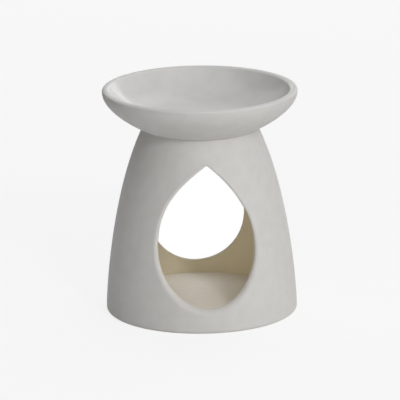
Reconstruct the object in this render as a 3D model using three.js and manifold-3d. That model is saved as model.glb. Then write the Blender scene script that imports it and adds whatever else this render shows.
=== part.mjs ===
// Wax warmer: a bell-shaped ceramic burner with a teardrop window front and back,
// a slab floor for a tealight, and a shallow wax dish that lifts off the neck.
// Millimetres, +Z up. The origin is under the middle of the foot, and the front faces -Y.

import * as THREE from "three";
import { mergeVertices } from "three/addons/utils/BufferGeometryUtils.js";
import Module from "manifold-3d";

const wasm = await Module();
wasm.setup();

// Bell-shaped body
const baseDiameter = 100;
const neckDiameter = 59.5;
const neckHeight = 98.75; // from the table to the dish's seat
const wallThickness = 4.5; // square to the wall
const footRound = 2; // radius of the lower outside edge
const footLean = 0.8; // degrees off upright just above the foot
const footReach = 12; // how far up the wall that lean carries
const neckLean = 25.4; // degrees off upright at the neck
const neckReach = 37.7; // how far down the wall that lean carries

// Slab floor, luted onto a ledge inside the foot
const footRecess = 1.5; // from the table to the slab's underside
const floorThickness = 4.5;
const ledgeWidth = 4; // how far the ledge reaches under the slab
const floorClearance = 0.3; // from the slab's edge to the wall

// Teardrop windows, one straight cut from front to back
const windowWidth = 50; // at the widest part
const sillRise = 6.4; // from the floor to the lowest point
const bellyRise = 29.6; // from the lowest point to the widest part
const tipDrop = 12.75; // from the dish's seat down to the tip
const tipSlope = 32.8; // degrees that the sides fall away at the tip
const cutMargin = 2; // how far the cutter stands out beyond the body

// Wax dish
const dishDiameter = 101.7;
const rimRise = 18.4; // from the seat to the widest part
const lipThickness = 4.2;
const lipCrown = 1.7; // from the widest part to the top of the lip
const lipTurn = 158; // degrees that the lip rolls over before the bowl begins
const flareLean = 72; // degrees off upright, outwards, where the underside leaves the seat
const flareReach = 11.8; // how far out that lean carries
const rimReach = 5.8; // how far down from the widest part the outside stays upright
const bowlDiameter = 36; // flat part of the inside
const bowlThickness = 5.25; // from the seat to the flat inside
const bowlReach = 16; // how far out the flat carries into the curve
const bowlLean = 37; // degrees off upright, inwards, where the inside leaves the lip
const lipReach = 7; // how far down from the lip that lean carries

// Ring under the dish that finds its place in the neck
const ringDepth = 5;
const ringThickness = 3.5;
const ringBevel = 0.8;
const ringClearance = 0.6; // from the ring to the neck, all round

// Fineness of the round and curved stretches, in steps
const turnSteps = 60;
const wallSteps = 11;
const footSteps = 3;
const windowSteps = 9;
const flareSteps = 8;
const lipSteps = 7;
const bowlSteps = 7;
const heightHalvings = 40;

const baseRadius = baseDiameter / 2;
const neckRadius = neckDiameter / 2;
const floorTop = footRecess + floorThickness;

function leaningPoint(start, degrees, reach) {
  const lean = THREE.MathUtils.degToRad(degrees);
  return new THREE.Vector2(start.x - reach * Math.sin(lean), start.y + reach * Math.cos(lean));
}

// Outside of the body, as radius and height, from above the rounded foot to the neck
const wallFoot = new THREE.Vector2(baseRadius, footRound);
const wallNeck = new THREE.Vector2(neckRadius, neckHeight);
const wallCurve = new THREE.CubicBezierCurve(
  wallFoot,
  leaningPoint(wallFoot, footLean, footReach),
  leaningPoint(wallNeck, neckLean, -neckReach),
  wallNeck,
);

function wallShareAt(height) {
  let low = 0;
  let high = 1;
  for (let halving = 0; halving < heightHalvings; halving += 1) {
    const middle = (low + high) / 2;
    if (wallCurve.getPoint(middle).y < height) {
      low = middle;
    } else {
      high = middle;
    }
  }
  return low;
}

// Level with the outside point, so that the neck's top is flat from wall to wall
function insidePoint(share) {
  const outside = wallCurve.getPoint(share);
  const upward = wallCurve.getTangent(share).y;
  return new THREE.Vector2(outside.x - wallThickness / upward, outside.y);
}

function insideRadiusAt(height) {
  return insidePoint(wallShareAt(height)).x;
}

function turned(profile) {
  const geometry = new THREE.LatheGeometry(profile, turnSteps);
  geometry.rotateX(Math.PI / 2);
  return geometry;
}

function solidFrom(geometry) {
  const bare = geometry.clone();
  bare.deleteAttribute("normal");
  bare.deleteAttribute("uv");
  const merged = mergeVertices(bare);
  const vertProperties = new Float32Array(merged.attributes.position.array);
  const triVerts = new Uint32Array(merged.index.array);
  return new wasm.Manifold(new wasm.Mesh({ numProp: 3, vertProperties, triVerts }));
}

function geometryFrom(solid) {
  const mesh = solid.getMesh();
  const geometry = new THREE.BufferGeometry();
  geometry.setAttribute("position", new THREE.BufferAttribute(mesh.vertProperties, mesh.numProp));
  geometry.setIndex(new THREE.BufferAttribute(mesh.triVerts, 1));
  geometry.computeVertexNormals();
  return geometry;
}

// Uncut body: foot ring with its ledge, outside up to the neck, and inside down again
function bodyProfile() {
  const ledgeOuter = insideRadiusAt(footRecess);
  const ledgeInner = ledgeOuter - ledgeWidth;
  const footCentre = baseRadius - footRound;
  const footArc = new THREE.EllipseCurve(
    footCentre, footRound, footRound, footRound, -Math.PI / 2, 0,
  );
  const lowestShare = wallShareAt(footRecess);
  const inside = [];
  for (let step = wallSteps; step > 0; step -= 1) {
    inside.push(insidePoint(THREE.MathUtils.lerp(lowestShare, 1, step / wallSteps)));
  }
  return [
    new THREE.Vector2(ledgeInner, 0),
    ...footArc.getPoints(footSteps),
    ...wallCurve.getPoints(wallSteps).slice(1),
    ...inside,
    new THREE.Vector2(ledgeOuter, footRecess),
    new THREE.Vector2(ledgeInner, footRecess),
    new THREE.Vector2(ledgeInner, 0),
  ];
}

// Window's outline, seen from the front
function teardrop() {
  const half = windowWidth / 2;
  const widest = floorTop + sillRise + bellyRise;
  const tip = neckHeight - tipDrop;
  const shoulder = tip - half * Math.tan(THREE.MathUtils.degToRad(tipSlope));
  const outline = new THREE.Shape();
  outline.moveTo(0, tip);
  outline.quadraticCurveTo(-half, shoulder, -half, widest);
  outline.absellipse(0, widest, half, bellyRise, Math.PI, 2 * Math.PI, false);
  outline.quadraticCurveTo(half, shoulder, 0, tip);
  return outline;
}

// Runs right through the body, so that one cut makes both windows
function windowCutter() {
  const length = baseDiameter + 2 * cutMargin;
  const geometry = new THREE.ExtrudeGeometry(teardrop(), {
    depth: length,
    bevelEnabled: false,
    curveSegments: windowSteps,
  });
  geometry.rotateX(Math.PI / 2);
  geometry.translate(0, length / 2, 0);
  return geometry;
}

function bodyGeometry() {
  const uncut = solidFrom(turned(bodyProfile()));
  return geometryFrom(uncut.subtract(solidFrom(windowCutter())));
}

function floorGeometry() {
  const radius = insideRadiusAt(floorTop) - floorClearance;
  return turned([
    new THREE.Vector2(0, 0),
    new THREE.Vector2(radius, 0),
    new THREE.Vector2(radius, floorThickness),
    new THREE.Vector2(0, floorThickness),
  ]);
}

// Dish with its seat at height 0: ring, seat, flared underside, round lip and bowl
function dishGeometry() {
  const ringOuter = insideRadiusAt(neckHeight) - ringClearance;
  const ringInner = ringOuter - ringThickness;
  const rimRadius = dishDiameter / 2;
  const bowlRadius = bowlDiameter / 2;
  const seatEdge = new THREE.Vector2(neckRadius, 0);
  const flareCurve = new THREE.CubicBezierCurve(
    seatEdge,
    leaningPoint(seatEdge, -flareLean, flareReach),
    new THREE.Vector2(rimRadius, rimRise - rimReach),
    new THREE.Vector2(rimRadius, rimRise),
  );
  const lipArc = new THREE.EllipseCurve(
    rimRadius - lipThickness / 2, rimRise, lipThickness / 2, lipCrown,
    0, THREE.MathUtils.degToRad(lipTurn),
  );
  const lipEnd = lipArc.getPoint(1);
  const bowlCurve = new THREE.CubicBezierCurve(
    lipEnd,
    leaningPoint(lipEnd, -bowlLean, -lipReach),
    new THREE.Vector2(bowlRadius + bowlReach, bowlThickness),
    new THREE.Vector2(bowlRadius, bowlThickness),
  );
  return turned([
    new THREE.Vector2(0, 0),
    new THREE.Vector2(ringInner, 0),
    new THREE.Vector2(ringInner, -ringDepth),
    new THREE.Vector2(ringOuter - ringBevel, -ringDepth),
    new THREE.Vector2(ringOuter, ringBevel - ringDepth),
    new THREE.Vector2(ringOuter, 0),
    ...flareCurve.getPoints(flareSteps),
    ...lipArc.getPoints(lipSteps).slice(1),
    ...bowlCurve.getPoints(bowlSteps).slice(1),
    new THREE.Vector2(0, bowlThickness),
  ]);
}

function piece(name, geometry, height, finish) {
  const mesh = new THREE.Mesh(geometry, new THREE.MeshStandardMaterial(finish));
  mesh.name = name;
  mesh.position.z = height;
  return mesh;
}

const satinGlaze = { color: 0xd6d4d0, roughness: 0.55, metalness: 0 };
const bareClay = { color: 0xd3c8b2, roughness: 0.85, metalness: 0 };
const glossGlaze = { color: 0xdad8d5, roughness: 0.2, metalness: 0 };

const waxWarmer = new THREE.Group();
waxWarmer.add(piece("body_shell", bodyGeometry(), 0, satinGlaze));
waxWarmer.add(piece("chamber_floor", floorGeometry(), footRecess, bareClay));
waxWarmer.add(piece("wax_dish", dishGeometry(), neckHeight, glossGlaze));

export default waxWarmer;
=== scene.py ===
import math

import bmesh
import bpy
import numpy as np
from mathutils import Matrix, Vector
from mathutils.geometry import interpolate_bezier


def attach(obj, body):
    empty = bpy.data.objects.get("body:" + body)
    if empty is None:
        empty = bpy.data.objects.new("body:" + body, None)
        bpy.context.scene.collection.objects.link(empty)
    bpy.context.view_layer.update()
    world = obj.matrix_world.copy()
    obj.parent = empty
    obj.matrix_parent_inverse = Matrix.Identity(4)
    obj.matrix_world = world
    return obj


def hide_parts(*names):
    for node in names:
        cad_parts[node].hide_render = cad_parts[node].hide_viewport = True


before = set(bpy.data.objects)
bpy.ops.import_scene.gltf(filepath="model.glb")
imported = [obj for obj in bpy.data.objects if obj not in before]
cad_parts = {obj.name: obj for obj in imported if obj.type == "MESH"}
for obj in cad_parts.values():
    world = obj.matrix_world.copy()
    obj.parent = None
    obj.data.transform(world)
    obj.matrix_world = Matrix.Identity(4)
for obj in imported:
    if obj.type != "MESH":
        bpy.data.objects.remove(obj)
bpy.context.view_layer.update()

MM = 0.001

# Bell-shaped body: lengths in millimetres, leans in degrees off upright
BASE_RADIUS = 50
NECK_RADIUS = 30.01
NECK_HEIGHT = 98.2
WALL = 4.5
FOOT_ROUND = 2
FOOT_LEAN = 0.8
FOOT_REACH = 12
NECK_LEAN = 25.4
NECK_REACH = 37.1

# Slab floor and the ledge under it
FOOT_RECESS = 1.5
FLOOR_TOP = 6
LEDGE_WIDTH = 4

# Teardrop windows, cut straight from front to back
WINDOW_HALF = 25
SILL = 13.1
BELLY = 42
TIP = 85.8
TIP_SLOPE = math.radians(36)
TIP_ROUND = 0.3
SHOULDER_PULL = 2 / 3  # how far the side's curve is drawn towards its shoulder

# The front window was cut by hand, so its sides drift and its sill lies a little lower
DRIFT_HEIGHTS = (14, 24, 34, 48, 56, 65, 74, 80, 86)
LEFT_DRIFTS = (0.9, 0.85, 0.95, 0.8, 0.1, -0.2, 0.1, 0.55, 1)
RIGHT_DRIFTS = (0.9, 0.5, 0.3, 0, -0.1, -0.55, -0.1, 0.35, 1)
SILL_DROP = 0.5

# Wax dish
RIM_RADIUS = 50.84
RIM_HEIGHT = 117.15
RIM_REACH = 5.5
FLARE_LEAN = 64
FLARE_REACH = 14.3
LIP = 4.5
LIP_CROWN = 1.65
LIP_TURN = math.radians(158)
LIP_FULLNESS = 0.625  # 1 rolls the lip's outer edge evenly, and less squares it
LIP_REACH = 7
BOWL_RADIUS = 18
BOWL_HEIGHT = 104
BOWL_REACH = 16
BOWL_LEAN = 37
RING = 3.5
RING_DEPTH = 5
RING_CLEARANCE = 0.6

# Rounded edges, each as far as it reaches from the corner
SIDE_EDGE = 4.2
SILL_EDGE = 3.3
TIP_EDGE = 1.2
CHAMBER_EDGE = 0.6
SEAT_EDGE = 0.04
LEDGE_EDGE = 0.4
RING_EDGE = 0.8
ROUNDING = "bevel_weight_edge"

# Fineness of the meshes
TINY = 0.001
NEAR = 1
SHARP = math.radians(30)
WALL_SAMPLES = 600
TURN_STEPS = 128
FOOT_STEPS = 8
BORDER_STEPS = 32
TIP_STEPS = 4
SIDE_STEPS = 52
SILL_STEPS = 3 * BORDER_STEPS - TIP_STEPS - SIDE_STEPS
FLARE_STEPS = 26
LIP_STEPS = 24
BOWL_STEPS = 26
EDGE_STEPS = 8
EDGE_BAND = 6.5  # width of the even band of faces along a window
WALL_CUTS = 14  # rows of faces beyond that band
LAY_RADIUS = 45  # radius at which the wall is unrolled


def lean(degrees, reach):
    """A line of some length, off upright by some degrees, as outward and upward parts."""
    angle = math.radians(degrees)
    return Vector((math.sin(angle), math.cos(angle))) * reach


def curve(start, start_handle, end_handle, end, steps):
    """Points along a smooth curve, as radius and height."""
    return interpolate_bezier(start, start_handle, end_handle, end, steps + 1)


# Outside and inside of the wall, level with each other
wall_foot = Vector((BASE_RADIUS, FOOT_ROUND))
wall_neck = Vector((NECK_RADIUS, NECK_HEIGHT))
wall_line = np.array(curve(
    wall_foot,
    wall_foot + lean(-FOOT_LEAN, FOOT_REACH),
    wall_neck - lean(-NECK_LEAN, NECK_REACH),
    wall_neck,
    WALL_SAMPLES,
))
outside_radii, wall_heights = wall_line.T
inside_radii = outside_radii - WALL * np.hypot(1, np.gradient(outside_radii, wall_heights))


def outside_radius(height):
    return float(np.interp(height, wall_heights, outside_radii))


def inside_radius(height):
    return float(np.interp(height, wall_heights, inside_radii))


ledge_outer = inside_radius(FOOT_RECESS)
ledge_inner = ledge_outer - LEDGE_WIDTH


def window_line(grow):
    """Half of the window's outline from tip to sill, grown outwards by a little."""
    half = WINDOW_HALF + grow
    tip = TIP + grow / math.cos(TIP_SLOPE)
    tip_round = TIP_ROUND + grow
    tip_centre = tip - tip_round / math.cos(TIP_SLOPE)
    tip_arc = [
        Vector((tip_round * math.sin(angle), tip_centre + tip_round * math.cos(angle)))
        for angle in np.linspace(0, TIP_SLOPE, TIP_STEPS + 1)
    ]
    shoulder = Vector((half, tip - half * math.tan(TIP_SLOPE)))
    widest = Vector((half, BELLY))
    side = curve(
        tip_arc[-1],
        tip_arc[-1].lerp(shoulder, SHOULDER_PULL),
        widest.lerp(shoulder, SHOULDER_PULL),
        widest,
        SIDE_STEPS,
    )
    sill = [
        Vector((half * math.cos(angle), BELLY - (BELLY - SILL + grow) * math.sin(angle)))
        for angle in np.linspace(0, math.pi / 2, SILL_STEPS + 1)
    ]
    return tip_arc + side[1:] + sill[1:]


def quarter_border(foot):
    """Edge of a quarter of the wall, laid flat, from over the window's tip to under its sill."""
    quarter = LAY_RADIUS * math.pi / 2
    along = np.linspace(0, 1, BORDER_STEPS + 1)
    neck = [(quarter * share, NECK_HEIGHT) for share in along]
    side = [(quarter, NECK_HEIGHT + (foot - NECK_HEIGHT) * share) for share in along]
    base = [(quarter * (1 - share), foot) for share in along]
    return neck + side[1:] + base[1:]


def lay_line(bm, points):
    """Edges through points on a flat sheet."""
    corners = [bm.verts.new((x, y, 0)) for x, y in points]
    return [bm.edges.new(pair) for pair in zip(corners, corners[1:])]


def quarter_wall(bm, radius_at, foot):
    """One face of a quarter of the wall, made flat and wrapped on the bell.

    Returns the edges along the window.
    """
    known = len(bm.verts)
    window, band = (
        lay_line(bm, [
            (LAY_RADIUS * math.asin(x / radius_at(height)), height)
            for x, height in window_line(grow)
        ])
        for grow in (0, EDGE_BAND)
    )
    border = lay_line(bm, quarter_border(foot))
    bmesh.ops.bridge_loops(bm, edges=window + band)
    rungs = bmesh.ops.bridge_loops(bm, edges=band + border)["edges"]
    bmesh.ops.subdivide_edges(bm, edges=rungs, cuts=WALL_CUTS, use_grid_fill=True)
    bm.verts.ensure_lookup_table()
    for vert in bm.verts[known:]:
        angle, height = vert.co.x / LAY_RADIUS, vert.co.y
        radius = radius_at(height)
        vert.co = radius * math.sin(angle), -radius * math.cos(angle), height
    return window


def drift_front_window(bm):
    """Moves the front of the wall sideways and down, most of all straight in front."""
    for vert in bm.verts:
        if vert.co.y >= 0:
            continue
        radius = vert.co.xy.length
        facing = (vert.co.y / radius) ** 2
        share = min(1, max(0, 0.5 + vert.co.x / WINDOW_HALF / 2))
        left, right = (
            np.interp(vert.co.z, DRIFT_HEIGHTS, drifts)
            for drifts in (LEFT_DRIFTS, RIGHT_DRIFTS)
        )
        drift = left + (right - left) * share
        drop = np.interp(vert.co.z, (FOOT_ROUND, SILL, BELLY), (0, SILL_DROP, 0))
        vert.co.rotate(Matrix.Rotation(facing * drift / radius, 3, "Z"))
        vert.co.z -= facing * drop


def rim(bm, height, radius):
    """Open edges round the axis at some height and about that radius."""
    return [
        edge for edge in bm.edges
        if edge.is_boundary and all(
            abs(vert.co.z - height) < TINY and abs(vert.co.xy.length - radius) < NEAR
            for vert in edge.verts
        )
    ]


def close_foot(bm):
    """Rounded foot, standing ring and ledge, drawn from the outside round to the inside."""
    foot_turn = [
        (BASE_RADIUS - FOOT_ROUND * (1 - math.cos(angle)), FOOT_ROUND * (1 - math.sin(angle)))
        for angle in np.linspace(0, math.pi / 2, FOOT_STEPS + 1)
    ]
    foot_line = [*foot_turn, (ledge_inner, 0), (ledge_inner, FOOT_RECESS)]
    foot = rim(bm, FOOT_ROUND, BASE_RADIUS)
    for (radius, height), (next_radius, next_height) in zip(foot_line, foot_line[1:]):
        made = bmesh.ops.extrude_edge_only(bm, edges=foot)["geom"]
        corners = [item for item in made if isinstance(item, bmesh.types.BMVert)]
        scale = next_radius / radius
        bmesh.ops.scale(bm, vec=(scale, scale, 1), verts=corners)
        bmesh.ops.translate(bm, vec=(0, 0, next_height - height), verts=corners)
        foot = [item for item in made if isinstance(item, bmesh.types.BMEdge)]
    bmesh.ops.bridge_loops(bm, edges=foot + rim(bm, FOOT_RECESS, ledge_outer))


def mark_edges(bm, reach_at):
    """Marks sharp edges for rounding, with how far the rounding reaches, or 0 for none."""
    layer = bm.edges.layers.float.new(ROUNDING)
    for edge in bm.edges:
        if edge.calc_face_angle(0) > SHARP:
            middle = (edge.verts[0].co + edge.verts[1].co) / 2
            edge[layer] = reach_at(middle.xy.length, middle.z) / SIDE_EDGE


def round_marked_edges(piece):
    """Rounds the marked edges and keeps the result as the piece's mesh."""
    rounding = piece.modifiers.new("rounded_edges", "BEVEL")
    rounding.limit_method = "WEIGHT"
    rounding.offset_type = "OFFSET"
    rounding.width = SIDE_EDGE * MM
    rounding.segments = EDGE_STEPS
    rounding.profile = 0.5
    rounding.use_clamp_overlap = False
    rounding.loop_slide = True
    rounding.harden_normals = True
    made = piece.evaluated_get(bpy.context.evaluated_depsgraph_get())
    plain = piece.data
    piece.data = bpy.data.meshes.new_from_object(made)
    piece.modifiers.clear()
    bpy.data.meshes.remove(plain)
    piece.data.name = piece.name


def add_object(name, data):
    """Puts a mesh, camera or lamp into the scene."""
    made = bpy.data.objects.new(name, data)
    bpy.context.scene.collection.objects.link(made)
    return made


def finished_piece(bm, name, node, body, material):
    """Turns a mesh in millimetres into a smooth piece that stands for a node."""
    bmesh.ops.recalc_face_normals(bm, faces=bm.faces)
    layer = bm.edges.layers.float.get(ROUNDING)
    for edge in bm.edges:
        rounded = layer is not None and edge[layer] > 0
        edge.smooth = rounded or edge.calc_face_angle(0) < SHARP
    for face in bm.faces:
        face.smooth = True
    bmesh.ops.scale(bm, vec=(MM, MM, MM), verts=bm.verts)
    mesh = bpy.data.meshes.new(name)
    bm.to_mesh(mesh)
    bm.free()
    mesh.materials.append(material)
    piece = add_object(name, mesh)
    if layer is not None:
        round_marked_edges(piece)
    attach(piece, body)
    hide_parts(node)
    return piece


def keep_value(piece, name, value_at):
    """Stores a number on each corner of the mesh, from its place and outward direction."""
    layer = piece.data.attributes.new(name, "FLOAT", "POINT")
    for vert, item in zip(piece.data.vertices, layer.data):
        item.value = value_at(vert.co / MM, vert.normal)


def body_edge(radius, height):
    """How far an edge of the body is rounded."""
    if SILL - NEAR < height < TIP + NEAR:
        if radius < (outside_radius(height) + inside_radius(height)) / 2:
            return CHAMBER_EDGE
        return np.interp(height, (SILL, BELLY, TIP), (SILL_EDGE, SIDE_EDGE, TIP_EDGE))
    if height > NECK_HEIGHT - NEAR:
        return SEAT_EDGE
    if height < FOOT_RECESS + NEAR and radius < ledge_inner + NEAR:
        return LEDGE_EDGE
    return 0


def wall_depth(place, _outward):
    """0 on the outside of the wall, 1 on the inside."""
    outer = outside_radius(place.z)
    return (outer - place.xy.length) / (outer - inside_radius(place.z))


def make_body(material):
    """Hollow bell with its two windows, neck seat and foot ring."""
    bm = bmesh.new()
    outer_cut = quarter_wall(bm, outside_radius, FOOT_ROUND)
    inner_cut = quarter_wall(bm, inside_radius, FOOT_RECESS)
    bmesh.ops.bridge_loops(bm, edges=outer_cut + inner_cut)
    for axis in "XY":
        bmesh.ops.mirror(
            bm, geom=bm.verts[:] + bm.edges[:] + bm.faces[:], matrix=Matrix.Identity(4),
            merge_dist=TINY, axis=axis,
        )
    drift_front_window(bm)
    seat = rim(bm, NECK_HEIGHT, NECK_RADIUS) + rim(bm, NECK_HEIGHT, inside_radius(NECK_HEIGHT))
    bmesh.ops.bridge_loops(bm, edges=seat)
    close_foot(bm)
    bmesh.ops.recalc_face_normals(bm, faces=bm.faces)
    mark_edges(bm, body_edge)
    piece = finished_piece(bm, "body", "body_shell", "burner", material)
    keep_value(piece, "wall_depth", wall_depth)


def turned(profile):
    """A profile of radii and heights, turned about the upright axis."""
    bm = bmesh.new()
    lay_line(bm, profile)
    bmesh.ops.rotate(
        bm, cent=(0, 0, 0), matrix=Matrix.Rotation(math.pi / 2, 3, "X"), verts=bm.verts,
    )
    bmesh.ops.spin(
        bm, geom=bm.verts[:] + bm.edges[:], axis=(0, 0, 1), cent=(0, 0, 0),
        angle=2 * math.pi, steps=TURN_STEPS, use_merge=True,
    )
    bmesh.ops.remove_doubles(bm, verts=bm.verts, dist=TINY)
    bmesh.ops.recalc_face_normals(bm, faces=bm.faces)
    return bm


def make_floor(material):
    """Slab that the tealight stands on, luted to the wall all round."""
    edge = inside_radius(FLOOR_TOP)
    bm = turned([
        (0, FOOT_RECESS), (edge, FOOT_RECESS),
        (edge, FLOOR_TOP), (edge / 2, FLOOR_TOP), (0, FLOOR_TOP),
    ])
    finished_piece(bm, "tealight_floor", "chamber_floor", "burner", material)


def lip_line():
    """Roll of the dish's lip, from its widest part over the crown to the bowl."""
    points = []
    for angle in np.linspace(0, LIP_TURN, LIP_STEPS + 1):
        fullness = LIP_FULLNESS if angle < math.pi / 2 else 1
        across, rise = math.cos(angle) ** fullness, math.sin(angle) ** fullness
        points.append((RIM_RADIUS - LIP / 2 * (1 - across), RIM_HEIGHT + LIP_CROWN * rise))
    return points


def make_dish(material):
    """Shallow bowl with a rolled lip and, underneath, the ring that sits in the neck."""
    ring_outer = inside_radius(NECK_HEIGHT) - RING_CLEARANCE
    ring_inner = ring_outer - RING
    ring_foot = NECK_HEIGHT - RING_DEPTH
    seat_edge = Vector((NECK_RADIUS, NECK_HEIGHT))
    flare = curve(
        seat_edge,
        seat_edge + lean(FLARE_LEAN, FLARE_REACH),
        Vector((RIM_RADIUS, RIM_HEIGHT - RIM_REACH)),
        Vector((RIM_RADIUS, RIM_HEIGHT)),
        FLARE_STEPS,
    )
    lip = lip_line()
    lip_end = Vector(lip[-1])
    bowl = curve(
        lip_end,
        lip_end - lean(BOWL_LEAN, LIP_REACH),
        Vector((BOWL_RADIUS + BOWL_REACH, BOWL_HEIGHT)),
        Vector((BOWL_RADIUS, BOWL_HEIGHT)),
        BOWL_STEPS,
    )
    bm = turned([
        (0, NECK_HEIGHT), (ring_inner, NECK_HEIGHT), (ring_inner, ring_foot),
        (ring_outer, ring_foot), (ring_outer, NECK_HEIGHT),
        *flare, *lip[1:], *bowl[1:], (BOWL_RADIUS / 2, BOWL_HEIGHT), (0, BOWL_HEIGHT),
    ])
    mark_edges(bm, lambda _radius, height: RING_EDGE if height < ring_foot + NEAR else 0)
    piece = finished_piece(bm, "dish", "wax_dish", "dish", material)

    def glossy(place, outward):
        if place.z < NECK_HEIGHT + NEAR or outward.z < 0:
            return 0
        return np.interp(place.xy.length, (lip_end.x, RIM_RADIUS - LIP / 2), (1, 0))

    keep_value(piece, "gloss", glossy)


class Socket:
    """An output socket of a material. Arithmetic on it adds Math nodes."""

    def __init__(self, tree, output=None):
        self.tree = tree
        self.output = output

    def node(self, kind, settings=None, sockets=None, out=0):
        """Adds a node with its settings and the values or links of its sockets."""
        made = self.tree.nodes.new(kind)
        for name, value in (settings or {}).items():
            setattr(made, name, value)
        for name, value in (sockets or {}).items():
            if isinstance(value, Socket):
                self.tree.links.new(value.output, made.inputs[name])
            else:
                made.inputs[name].default_value = value
        return Socket(self.tree, made.outputs[out] if made.outputs else None)

    def maths(self, operation, *values):
        return self.node("ShaderNodeMath", {"operation": operation}, dict(enumerate(values)))

    def __add__(self, other):
        return self.maths("ADD", self, other)

    def __radd__(self, other):
        return self.maths("ADD", other, self)

    def __sub__(self, other):
        return self.maths("SUBTRACT", self, other)

    def __rsub__(self, other):
        return self.maths("SUBTRACT", other, self)

    def __mul__(self, other):
        return self.maths("MULTIPLY", self, other)

    def __rmul__(self, other):
        return self.maths("MULTIPLY", other, self)

    def swing(self, size):
        """A value from 0 to 1, turned into a shift to either side of 0."""
        return (self - 0.5) * size

    def between(self, low, high):
        """0 below low and 1 above high, with a soft change."""
        return self.node(
            "ShaderNodeMapRange", {"interpolation_type": "SMOOTHSTEP"},
            {"Value": self, "From Min": low, "From Max": high},
        )

    def blend(self, low, high):
        """One colour where this is 0, another where it is 1."""
        return self.node(
            "ShaderNodeMix", {"data_type": "RGBA"}, {0: self, 6: low, 7: high}, out=2,
        )


def new_material(name):
    material = bpy.data.materials.new(name)
    material.use_nodes = True
    material.node_tree.nodes.clear()
    return material, Socket(material.node_tree)


def rgb(red, green, blue):
    """A colour as it looks on a screen, from 0 to 255, as light."""
    def light(level):
        share = level / 255
        return share / 12.92 if share <= 0.04045 else ((share + 0.055) / 1.055) ** 2.4
    return (light(red), light(green), light(blue), 1)


def grey(level):
    return (level, level, level, 1)


# Tones of the wares, as they look on a screen
GLAZE = rgb(217, 215, 212)
GLAZE_SHADE = rgb(213, 211, 207)
THIN_GLAZE = rgb(225, 221, 214)
DISH_OUTSIDE = rgb(211, 209, 206)
DISH_OUTSIDE_SHADE = rgb(207, 205, 201)
DISH_INSIDE = rgb(219, 218, 216)
DISH_INSIDE_SHADE = rgb(215, 214, 211)
# Painted light: a paler tone in the middle of the bowl
DISH_PAINTED_LIGHT = rgb(232, 231, 229)
DISH_LIP = rgb(219, 218, 216)
SPECK = rgb(176, 163, 142)
# Clay inside the chamber, darker on the left and lighter on the right: painted shade and painted
# light across the chamber
LEFT_CLAY = rgb(209, 200, 180)
RIGHT_CLAY = rgb(252, 241, 211)
CLAY_GRIT = rgb(204, 186, 150)
FLOOR_CLAY = rgb(253, 249, 242)
FLOOR_SHADE = rgb(250, 245, 237)
FLOOR_GRIT = rgb(222, 208, 184)

# Random patches in the glaze and the clay, so many to the metre
CLOUDS = 30
MOTTLES = 160
FLOOR_MOTTLES = 320
PEEL = 900
GRIT = 2600

# Specks in the glaze: cells to the metre, radius in parts of a cell, share of the cells,
# strength of the tint and depth of the pit
SPECK_CELLS = 420
SPECK_RADIUS = 0.13
SPECK_SHARE = 0.12
SPECK_TINT = 0.5
SPECK_PIT = 0.6

# Where one finish passes into another, in metres or in parts of the wall or of a patch
MOTTLED = (0.3, 0.7)
GRITTY = (0.45, 0.75)
GRIT_TINT = 0.3  # strength of the grit's tone
THIN_DEPTHS = (0.05, 0.6)
BARE_DEPTHS = (0.76, 0.98)
WIPED_HEIGHTS = (0.2 * MM, 0.5 * MM)
# Painted light and shade: how fast the chamber's clay goes from its darker left tone to its
# lighter right tone
PAINTED_LIGHT_SLOPE = 11  # change from left clay to right clay, to the metre
CROWN_HEIGHTS = ((RIM_HEIGHT + 0.2) * MM, (RIM_HEIGHT + 1.2) * MM)
# Painted light in the bowl: full within the first radius, gone beyond the second
BOWL_PAINTED_LIGHT_RADII = (14 * MM, 30 * MM)

# How far the clouds shift those places
THIN_SHIFT = 0.1
BARE_SHIFT = 0.12
WIPED_SHIFT = 0.6 * MM
PAINTED_LIGHT_SHIFT = 0.4

# Roughness, and what clay, gloss and mottles change in it
GLAZE_ROUGHNESS = 0.45
DISH_ROUGHNESS = 0.5
FLOOR_ROUGHNESS = 0.82
CLAY_ROUGHER = 0.35
GLOSS_SMOOTHER = 0.15
MOTTLE_ROUGHER = 0.1

# Clear coat of the gloss glaze, and height of the small relief on all finishes
COAT = 0.75
COAT_ROUGHNESS = 0.14
DISH_SPECULAR = 0.3
RELIEF = 0.2 * MM


def attribute(start, name):
    """A number that the mesh stores."""
    return start.node("ShaderNodeAttribute", {"attribute_name": name}, out="Fac")


def object_place(start):
    """Place on the object, in metres."""
    return start.node("ShaderNodeTexCoord", out="Object")


def parts(start, place, axes):
    """The named coordinates of a place."""
    return [start.node("ShaderNodeSeparateXYZ", None, {0: place}, out=axis) for axis in axes]


def grain(start, place, scale):
    """Soft random patches, so many to the metre."""
    return start.node("ShaderNodeTexNoise", None, {"Vector": place, "Scale": scale, "Detail": 2})


def glaze_specks(start, place):
    """Small round specks in a share of the cells that fill the space."""
    cells = {"Vector": place, "Scale": SPECK_CELLS}
    distance, shade = (
        start.node("ShaderNodeTexVoronoi", None, cells, out=name) for name in ("Distance", "Color")
    )
    chosen = shade.maths("GREATER_THAN", shade, 1 - SPECK_SHARE)
    return chosen * (1 - distance.between(SPECK_RADIUS / 2, SPECK_RADIUS))


def surface(start, colour, roughness, height, bump, **others):
    """Finishes a material with its colour, roughness, small relief and other values."""
    relief = start.node(
        "ShaderNodeBump", None, {"Strength": bump, "Distance": RELIEF, "Height": height},
    )
    sockets = {"Base Color": colour, "Roughness": roughness, "Normal": relief, **others}
    start.node("ShaderNodeOutputMaterial", None, {
        "Surface": start.node("ShaderNodeBsdfPrincipled", None, sockets),
    })


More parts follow.
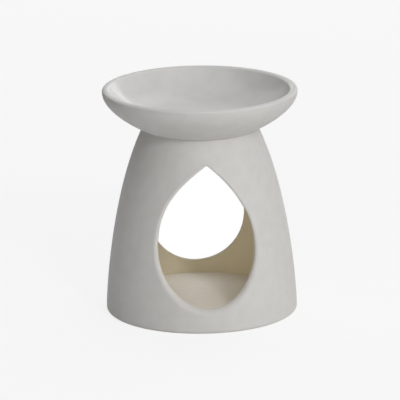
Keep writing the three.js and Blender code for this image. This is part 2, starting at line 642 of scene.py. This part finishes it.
def make_glaze_material():
    """Satin glaze outside, thin on the cut edges, and bare clay inside and under the foot, the
    clay inside painted darker to the left and lighter to the right as painted shade and painted
    light.
    """
    material, start = new_material("satin_glaze_over_clay")
    place = object_place(start)
    side, height = parts(start, place, "XZ")
    depth = attribute(start, "wall_depth")
    cloud = grain(start, place, CLOUDS)
    mottle = grain(start, place, MOTTLES)
    peel = grain(start, place, PEEL)
    grit = grain(start, place, GRIT)
    specks = glaze_specks(start, place)
    thin = (depth + cloud.swing(THIN_SHIFT)).between(*THIN_DEPTHS)
    wiped = 1 - (height + cloud.swing(WIPED_SHIFT)).between(*WIPED_HEIGHTS)
    inner = (depth + cloud.swing(BARE_SHIFT)).between(*BARE_DEPTHS)
    bare = inner.maths("MAXIMUM", inner, wiped)
    glaze = thin.blend(mottle.between(*MOTTLED).blend(GLAZE, GLAZE_SHADE), THIN_GLAZE)
    # Painted shade on the chamber's left and painted light on its right, blended across the clay
    painted_light_across = (side * PAINTED_LIGHT_SLOPE + 0.5 + cloud.swing(PAINTED_LIGHT_SHIFT)).between(0, 1)
    gritty = grit.between(*GRITTY) * GRIT_TINT
    clay = gritty.blend(painted_light_across.blend(LEFT_CLAY, RIGHT_CLAY), CLAY_GRIT)
    surface(
        start,
        colour=bare.blend((specks * SPECK_TINT).blend(glaze, SPECK), clay),
        roughness=bare * CLAY_ROUGHER + mottle * MOTTLE_ROUGHER + GLAZE_ROUGHNESS,
        height=bare * grit + peel - specks * SPECK_PIT,
        bump=0.15,
    )
    return material


def make_clay_material():
    """Bare clay of the slab floor, with its fine grit."""
    material, start = new_material("bare_clay")
    place = object_place(start)
    mottle = grain(start, place, FLOOR_MOTTLES)
    grit = grain(start, place, GRIT)
    clay = mottle.between(*MOTTLED).blend(FLOOR_CLAY, FLOOR_SHADE)
    surface(
        start,
        colour=(grit.between(*GRITTY) * GRIT_TINT).blend(clay, FLOOR_GRIT),
        roughness=mottle * MOTTLE_ROUGHER + FLOOR_ROUGHNESS,
        height=grit + mottle,
        bump=0.2,
    )
    return material


def make_dish_material():
    """Satin glaze outside and on the lip, gloss glaze in the bowl, with painted light that makes
    the middle of the bowl paler.
    """
    material, start = new_material("gloss_glaze")
    place = object_place(start)
    side, away, height = parts(start, place, "XYZ")
    gloss = attribute(start, "gloss")
    mottle = grain(start, place, MOTTLES)
    peel = grain(start, place, PEEL)
    specks = glaze_specks(start, place)
    mottled = mottle.between(*MOTTLED)
    outside = mottled.blend(DISH_OUTSIDE, DISH_OUTSIDE_SHADE)
    # Painted light that makes the middle of the bowl paler
    bowl_painted_light = 1 - (side * side + away * away).between(*(radius ** 2 for radius in BOWL_PAINTED_LIGHT_RADII))
    inside = bowl_painted_light.blend(mottled.blend(DISH_INSIDE, DISH_INSIDE_SHADE), DISH_PAINTED_LIGHT)
    crown = height.between(*CROWN_HEIGHTS)
    glaze = crown.blend(gloss.blend(outside, inside), DISH_LIP)
    surface(
        start,
        colour=(specks * SPECK_TINT).blend(glaze, SPECK),
        roughness=DISH_ROUGHNESS - gloss * GLOSS_SMOOTHER + mottle * MOTTLE_ROUGHER,
        height=peel - specks * SPECK_PIT,
        bump=0.1,
        **{
            "Specular IOR Level": DISH_SPECULAR,
            "Coat Weight": gloss * COAT,
            "Coat Roughness": COAT_ROUGHNESS,
        },
    )
    return material


# Camera: degrees to the right of the front, up and tilted, then metres and lens
VIEW_AZIMUTH = -3.6
VIEW_ELEVATION = 15.27
VIEW_ROLL = -0.596
VIEW_DISTANCE = 2.4
VIEW_SIDE = -0.000439
VIEW_LENS = 413.05
MIDDLE = Vector((0, 0, 0.05838))

# Lamps: name, degrees to the right of the front and up, distance, width, height, power,
# and whether the glaze mirrors them
LAMPS = (
    ("front", 8, 27, 1.6, 1.6, 1.5, 7.55, True),
    ("low_front_left", -28, 8, 1.5, 0.4, 0.3, 0.6, False),
    ("key", 19, 31, 1.5, 0.17, 0.17, 4.3, False),
    ("right", 65, 28, 1.6, 1.7, 1.7, 3.7, True),
    ("low_right", 65, 6, 1.5, 0.8, 0.25, 2.2, False),
    ("back_right", 135, 30, 1.6, 1.7, 1.7, 5.6, True),
    ("low_back", 155, 14, 1.5, 1, 0.38, 1.2, True),
    ("low_back_left", -160, 25, 1.5, 0.5, 0.3, 1.8, False),
    ("backdrop", 178, 15, 1.5, 0.5, 0.35, 0.72, True),
    ("back", 180, 38, 1.6, 1.7, 1.7, 4.6, True),
    ("top", 0, 88, 1.6, 1.7, 1.7, 7.3, True),
)

# Surround: its level as the camera sees it, and as the glaze mirrors it
SURROUND_SEEN = 0.922
SURROUND_MIRRORED = 0.1

# Table: metres and levels, with a patch of painted light behind the object
TABLE_SIZE = 4
TABLE_LIT = 0.9
TABLE_SEEN = 0.98
TABLE_SEEN_SHARE = 0.85  # outside the patch, where the rest is the lit table
PATCH_AWAY = 0.165
PATCH_SLANT = 0.063
PATCH_WIDTH = 0.026
PATCH_LENGTH = 0.105
PATCH_EDGE = (1.1, 2.6)


def direction(azimuth, elevation):
    """Way out from the object, so many degrees to the right of the front and up."""
    turn, rise = math.radians(azimuth), math.radians(elevation)
    return Vector((
        math.sin(turn) * math.cos(rise), -math.cos(turn) * math.cos(rise), math.sin(rise),
    ))


def make_camera():
    right = direction(VIEW_AZIMUTH + 90, 0)
    back = direction(VIEW_AZIMUTH, VIEW_ELEVATION)
    turn = Matrix((right, back.cross(right), back)).transposed().to_4x4()
    roll = Matrix.Rotation(math.radians(VIEW_ROLL), 4, back)
    place = Matrix.Translation(MIDDLE + right * VIEW_SIDE + back * VIEW_DISTANCE)
    data = bpy.data.cameras.new("camera")
    data.lens = VIEW_LENS
    camera = add_object("camera", data)
    camera.matrix_world = place @ roll @ turn
    bpy.context.scene.camera = camera


def add_lamp(name, azimuth, elevation, distance, width, height, power, mirrored):
    """A soft lamp that faces the middle of the object."""
    data = bpy.data.lights.new(name, "AREA")
    data.shape = "RECTANGLE"
    data.size, data.size_y = width, height
    data.energy = power
    lamp = add_object(name, data)
    back = direction(azimuth, elevation)
    lamp.location = MIDDLE + back * distance
    lamp.rotation_mode = "QUATERNION"
    lamp.rotation_quaternion = back.to_track_quat("Z", "Y")
    lamp.visible_glossy = mirrored


def make_world():
    """Pale surround for the camera, and a dim one for the glaze to mirror."""
    world = bpy.data.worlds.new("studio")
    bpy.context.scene.world = world
    world.use_nodes = True
    world.node_tree.nodes.clear()
    start = Socket(world.node_tree)
    seen = start.node("ShaderNodeLightPath", out="Is Camera Ray")
    mirrored = start.node("ShaderNodeLightPath", out="Is Glossy Ray")
    fill = start.node("ShaderNodeBackground", None, {
        "Color": grey(1), "Strength": mirrored * SURROUND_MIRRORED,
    })
    shown = start.node("ShaderNodeBackground", None, {
        "Color": grey(SURROUND_SEEN), "Strength": 1,
    })
    start.node("ShaderNodeOutputWorld", None, {
        "Surface": start.node("ShaderNodeMixShader", None, {0: seen, 1: fill, 2: shown}),
    })


def make_table():
    """Stage under the object, with a patch of painted light that shows through the windows."""
    bm = bmesh.new()
    bmesh.ops.create_grid(bm, x_segments=1, y_segments=1, size=TABLE_SIZE)
    mesh = bpy.data.meshes.new("table")
    bm.to_mesh(mesh)
    bm.free()
    material, start = new_material("pale_table")
    side, away = parts(start, object_place(start), "XY")
    across = (side - away * PATCH_SLANT) * (1 / PATCH_WIDTH)
    along = (away - PATCH_AWAY) * (1 / PATCH_LENGTH)
    # Painted light: a bright pool on the table behind the object, seen only by the camera
    painted_light_patch = 1 - (across * across + along * along).between(*PATCH_EDGE)
    seen = start.node("ShaderNodeLightPath", out="Is Camera Ray")
    share = painted_light_patch * (1 - TABLE_SEEN_SHARE) + TABLE_SEEN_SHARE
    lit = start.node("ShaderNodeBsdfDiffuse", None, {"Color": grey(TABLE_LIT)})
    shown = start.node("ShaderNodeEmission", None, {
        "Color": painted_light_patch.blend(grey(TABLE_SEEN), grey(1)), "Strength": 1,
    })
    start.node("ShaderNodeOutputMaterial", None, {
        "Surface": start.node("ShaderNodeMixShader", None, {0: seen * share, 1: lit, 2: shown}),
    })
    mesh.materials.append(material)
    table = add_object("table", mesh)


make_body(make_glaze_material())
make_floor(make_clay_material())
make_dish(make_dish_material())
make_camera()
for lamp_values in LAMPS:
    add_lamp(*lamp_values)
make_world()
make_table()
bpy.context.scene.view_settings.view_transform = "Standard"
